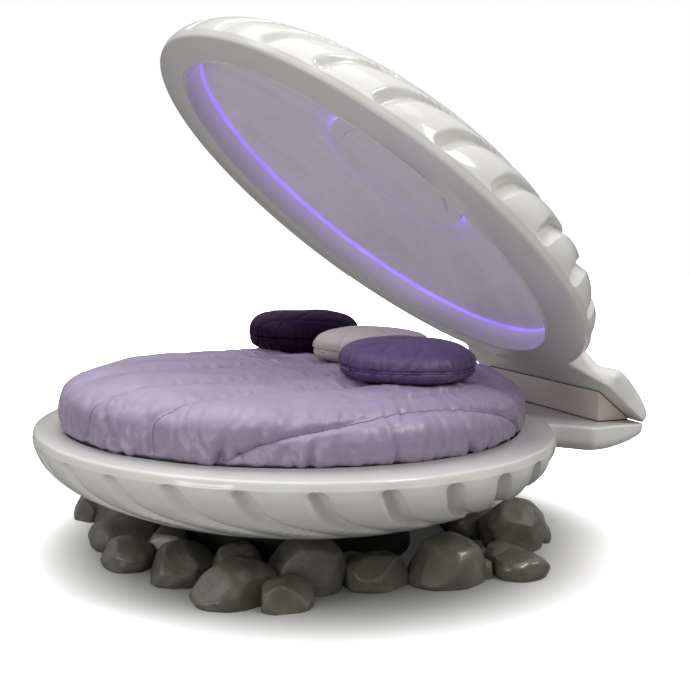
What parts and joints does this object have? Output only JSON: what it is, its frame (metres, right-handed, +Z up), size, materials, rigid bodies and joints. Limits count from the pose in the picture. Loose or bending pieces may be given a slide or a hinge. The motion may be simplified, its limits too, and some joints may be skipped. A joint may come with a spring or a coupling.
{
  "type": "kids bed",
  "caption": "children's bed shaped as an open scallop shell, with a round mattress, a quilt, cushions, a lit lid ceiling and a plinth ringed with river stones",
  "frame": {"origin": "on the floor, in the middle of the plinth base, under the middle of the lower shell", "axes": "+Z up; +Y horizontal, from the open front back to the ears; +X to the right seen from the open front"},
  "size_m": [1.95, 2.1316, 1.8197],
  "materials": {
    "shell_lacquer": "gloss",
    "wedge_lacquer": "gloss",
    "gasket_rubber": "matte",
    "bracket_steel": "satin",
    "bolt_steel": "satin",
    "light_diffuser": "matte",
    "light_strip": "matte",
    "ceiling_pearl": "gloss",
    "medallion_pearl": "gloss",
    "spacer_plastic": "matte",
    "driver_plastic": "matte",
    "frame_wood": "satin",
    "mattress_ticking": "matte",
    "quilt_satin": "satin",
    "cushion_aubergine": "satin",
    "cushion_cream": "satin",
    "cushion_violet": "satin",
    "plinth_black": "satin",
    "river_stone": "satin"
  },
  "bodies": {
    "bed": {"bearer_back": "frame_wood", "bearer_front": "frame_wood", "bracket_centre": "bracket_steel", "bracket_left": "bracket_steel", "bracket_right": "bracket_steel", "cable_gland": "driver_plastic", "ceiling_panel": "ceiling_pearl", "cove_diffuser": "light_diffuser", "cove_light_strip": "light_strip", "ear_bolts_lower": "bolt_steel", "ear_bolts_upper": "bolt_steel", "frame_ring": "frame_wood", "gasket_lower": "gasket_rubber", "gasket_upper": "gasket_rubber", "halo_light_strip": "light_strip", "hinge_wedge": "wedge_lacquer", "light_driver": "driver_plastic", "lower_shell": "shell_lacquer", "medallion_disc": "medallion_pearl", "medallion_ring": "medallion_pearl", "medallion_spacers": "spacer_plastic", "middle_rail": "frame_wood", "plinth_base": "plinth_black", "plinth_bolts": "bolt_steel", "plinth_top": "plinth_black", "plinth_wall": "plinth_black", "slats": "frame_wood", "stone_01": "river_stone", "stone_02": "river_stone", "stone_03": "river_stone", "stone_04": "river_stone", "stone_05": "river_stone", "stone_06": "river_stone", "stone_07": "river_stone", "stone_08": "river_stone", "stone_09": "river_stone", "stone_10": "river_stone", "stone_11": "river_stone", "stone_12": "river_stone", "stone_13": "river_stone", "stone_14": "river_stone", "stone_15": "river_stone", "stone_16": "river_stone", "stone_17": "river_stone", "stone_18": "river_stone", "stone_19": "river_stone", "stone_20": "river_stone", "stone_21": "river_stone", "stone_22": "river_stone", "stone_23": "river_stone", "stone_24": "river_stone", "stone_25": "river_stone", "stone_26": "river_stone", "upper_shell": "shell_lacquer"},
    "bedding": {"mattress_core": "mattress_ticking", "quilt": "quilt_satin"},
    "dark_cushion": {"cushion_dark": "cushion_aubergine"},
    "cream_cushion": {"cushion_cream": "cushion_cream"},
    "violet_cushion": {"cushion_violet": "cushion_violet"}
  },
  "joints": [
    {"name": "bedding_lift", "type": "slide", "parent": "bed", "child": "bedding", "axis": [0, 0, 1], "range_m": [0, 0.1]},
    {"name": "dark_cushion_lift", "type": "slide", "parent": "bedding", "child": "dark_cushion", "axis": [0, 0, 1], "range_m": [0, 0.2]},
    {"name": "cream_cushion_lift", "type": "slide", "parent": "bedding", "child": "cream_cushion", "axis": [0, 0, 1], "range_m": [0, 0.2]},
    {"name": "violet_cushion_lift", "type": "slide", "parent": "bedding", "child": "violet_cushion", "axis": [0, 0, 1], "range_m": [0, 0.2]}
  ]
}
